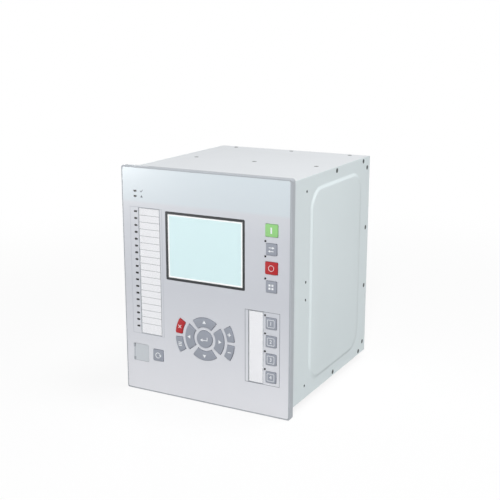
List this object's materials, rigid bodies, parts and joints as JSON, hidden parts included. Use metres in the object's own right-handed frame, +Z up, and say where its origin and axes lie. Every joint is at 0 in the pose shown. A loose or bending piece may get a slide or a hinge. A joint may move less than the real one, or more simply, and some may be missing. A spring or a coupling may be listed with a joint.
{
  "type": "protection relay",
  "caption": "Rack-style protection relay: box case with embossed sides, silver front panel with display, alarm lights, label slips and keypad, rear terminals.",
  "frame": {"origin": "middle of the footprint in plan, level with the lower edge of the front panel", "axes": "+X right across the front panel as its reader sees it, +Y from the front panel to the rear terminals, +Z up"},
  "size_m": [0.2134, 0.2434, 0.2659],
  "materials": {
    "panel_plastic": "satin",
    "silver_film": "pearl satin",
    "black_plastic": "satin",
    "clear_plastic": "clear",
    "display_screen": "smooth",
    "white_card": "matt",
    "dark_lens": "smoked",
    "green_key_plastic": "soft",
    "red_key_plastic": "soft",
    "grey_key_plastic": "soft",
    "cover_plastic": "frosted",
    "circuit_board": "solder mask",
    "case_paint": "fine powder coat",
    "rear_plate_metal": "satin",
    "rail_aluminium": "mill",
    "zinc_steel": "zinc plated",
    "transformer_iron": "varnished",
    "relay_plastic": "moulded",
    "terminal_plastic": "moulded",
    "socket_shield": "nickel plated",
    "stud_brass": "bright"
  },
  "bodies": {
    "relay": {"front_panel": "panel_plastic", "front_film": "silver_film", "display_bezel": "black_plastic", "display_lens": "clear_plastic", "display_module": "display_screen", "label_windows": "clear_plastic", "alarm_label_slip": "white_card", "function_label_slip": "white_card", "indicator_lights": "dark_lens", "port_hinge_pin": "zinc_steel", "front_port": "black_plastic", "hmi_board": "circuit_board", "key_switches": "black_plastic", "panel_screws": "zinc_steel", "left_side_plate": "case_paint", "right_side_plate": "case_paint", "top_cover": "case_paint", "bottom_cover": "case_paint", "cross_rails": "rail_aluminium", "rear_posts": "rail_aluminium", "card_guides": "black_plastic", "case_screws": "zinc_steel", "backplane": "circuit_board", "power_plate": "rear_plate_metal", "processor_plate": "rear_plate_metal", "input_plate": "rear_plate_metal", "output_plate": "rear_plate_metal", "analog_plate": "rear_plate_metal", "power_board": "circuit_board", "processor_board": "circuit_board", "input_board": "circuit_board", "output_board": "circuit_board", "analog_board": "circuit_board", "input_transformers": "transformer_iron", "output_relays": "relay_plastic", "terminal_plugs": "terminal_plastic", "current_terminals": "black_plastic", "network_ports": "socket_shield", "module_screws": "zinc_steel", "earth_stud": "stud_brass"},
    "close_key": {"close_key": "green_key_plastic"},
    "mode_key": {"mode_key": "grey_key_plastic"},
    "open_key": {"open_key": "red_key_plastic"},
    "option_key": {"option_key": "grey_key_plastic"},
    "function_key_1": {"function_key_1": "grey_key_plastic"},
    "function_key_2": {"function_key_2": "grey_key_plastic"},
    "function_key_3": {"function_key_3": "grey_key_plastic"},
    "function_key_4": {"function_key_4": "grey_key_plastic"},
    "enter_key": {"enter_key": "grey_key_plastic"},
    "up_key": {"up_key": "grey_key_plastic"},
    "down_key": {"down_key": "grey_key_plastic"},
    "left_key": {"left_key": "grey_key_plastic"},
    "right_key": {"right_key": "grey_key_plastic"},
    "escape_key": {"escape_key": "red_key_plastic"},
    "group_key": {"group_key": "grey_key_plastic"},
    "plus_key": {"plus_key": "grey_key_plastic"},
    "minus_key": {"minus_key": "grey_key_plastic"},
    "reset_key": {"reset_key": "grey_key_plastic"},
    "port_cover": {"port_cover": "cover_plastic"}
  },
  "joints": [
    {"name": "close_key_press", "type": "slide", "parent": "relay", "child": "close_key", "axis": [0, 1, 0], "range_m": [0, 0.0008], "stiffness_N_per_m": 2500, "springref_m": -0.0004},
    {"name": "mode_key_press", "type": "slide", "parent": "relay", "child": "mode_key", "axis": [0, 1, 0], "range_m": [0, 0.0008], "stiffness_N_per_m": 2500, "springref_m": -0.0004},
    {"name": "open_key_press", "type": "slide", "parent": "relay", "child": "open_key", "axis": [0, 1, 0], "range_m": [0, 0.0008], "stiffness_N_per_m": 2500, "springref_m": -0.0004},
    {"name": "option_key_press", "type": "slide", "parent": "relay", "child": "option_key", "axis": [0, 1, 0], "range_m": [0, 0.0008], "stiffness_N_per_m": 2500, "springref_m": -0.0004},
    {"name": "function_key_1_press", "type": "slide", "parent": "relay", "child": "function_key_1", "axis": [0, 1, 0], "range_m": [0, 0.0008], "stiffness_N_per_m": 2500, "springref_m": -0.0004},
    {"name": "function_key_2_press", "type": "slide", "parent": "relay", "child": "function_key_2", "axis": [0, 1, 0], "range_m": [0, 0.0008], "stiffness_N_per_m": 2500, "springref_m": -0.0004},
    {"name": "function_key_3_press", "type": "slide", "parent": "relay", "child": "function_key_3", "axis": [0, 1, 0], "range_m": [0, 0.0008], "stiffness_N_per_m": 2500, "springref_m": -0.0004},
    {"name": "function_key_4_press", "type": "slide", "parent": "relay", "child": "function_key_4", "axis": [0, 1, 0], "range_m": [0, 0.0008], "stiffness_N_per_m": 2500, "springref_m": -0.0004},
    {"name": "enter_key_press", "type": "slide", "parent": "relay", "child": "enter_key", "axis": [0, 1, 0], "range_m": [0, 0.0008], "stiffness_N_per_m": 2500, "springref_m": -0.0004},
    {"name": "up_key_press", "type": "slide", "parent": "relay", "child": "up_key", "axis": [0, 1, 0], "range_m": [0, 0.0008], "stiffness_N_per_m": 2500, "springref_m": -0.0004},
    {"name": "down_key_press", "type": "slide", "parent": "relay", "child": "down_key", "axis": [0, 1, 0], "range_m": [0, 0.0008], "stiffness_N_per_m": 2500, "springref_m": -0.0004},
    {"name": "left_key_press", "type": "slide", "parent": "relay", "child": "left_key", "axis": [0, 1, 0], "range_m": [0, 0.0008], "stiffness_N_per_m": 2500, "springref_m": -0.0004},
    {"name": "right_key_press", "type": "slide", "parent": "relay", "child": "right_key", "axis": [0, 1, 0], "range_m": [0, 0.0008], "stiffness_N_per_m": 2500, "springref_m": -0.0004},
    {"name": "escape_key_press", "type": "slide", "parent": "relay", "child": "escape_key", "axis": [0, 1, 0], "range_m": [0, 0.0008], "stiffness_N_per_m": 2500, "springref_m": -0.0004},
    {"name": "group_key_press", "type": "slide", "parent": "relay", "child": "group_key", "axis": [0, 1, 0], "range_m": [0, 0.0008], "stiffness_N_per_m": 2500, "springref_m": -0.0004},
    {"name": "plus_key_press", "type": "slide", "parent": "relay", "child": "plus_key", "axis": [0, 1, 0], "range_m": [0, 0.0008], "stiffness_N_per_m": 2500, "springref_m": -0.0004},
    {"name": "minus_key_press", "type": "slide", "parent": "relay", "child": "minus_key", "axis": [0, 1, 0], "range_m": [0, 0.0008], "stiffness_N_per_m": 2500, "springref_m": -0.0004},
    {"name": "reset_key_press", "type": "slide", "parent": "relay", "child": "reset_key", "axis": [0, 1, 0], "range_m": [0, 0.0008], "stiffness_N_per_m": 2500, "springref_m": -0.0004},
    {"name": "port_cover_hinge", "type": "hinge", "parent": "relay", "child": "port_cover", "pos_m": [-0.09485, -0.1203, 0.0466], "axis": [0, 0, -1], "range_deg": [0, 105]}
  ]
}
